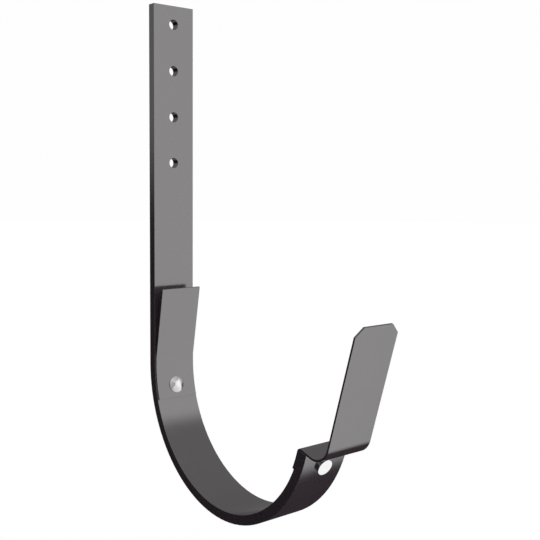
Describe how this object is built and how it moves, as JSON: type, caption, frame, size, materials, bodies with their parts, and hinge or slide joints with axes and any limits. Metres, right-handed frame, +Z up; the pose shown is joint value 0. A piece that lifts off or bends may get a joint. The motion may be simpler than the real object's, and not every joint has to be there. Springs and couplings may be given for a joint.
{
  "type": "gutter bracket",
  "caption": "Half-round gutter bracket: a flat bar bent into a hook, with a riveted rear clip and a folded front clip over its tip.",
  "frame": {"origin": "centre of the row of four screw holes, on the wall face of the straight leg", "axes": "+Z up along the leg, +Y into the wall, so the hook reaches out along -Y; +X across the bar, along the gutter"},
  "size_m": [0.03, 0.1954, 0.316],
  "materials": {
    "coated_bar": "satin powder coat, very fine texture",
    "coated_sheet": "satin powder coat, very fine texture",
    "rivet_metal": "bright, lightly brushed by the setting tool"
  },
  "bodies": {
    "root": {"hook_strap": "coated_bar", "rear_clip": "coated_sheet", "front_clip": "coated_sheet", "rear_rivet": "rivet_metal", "front_rivet": "rivet_metal"}
  },
  "joints": []
}
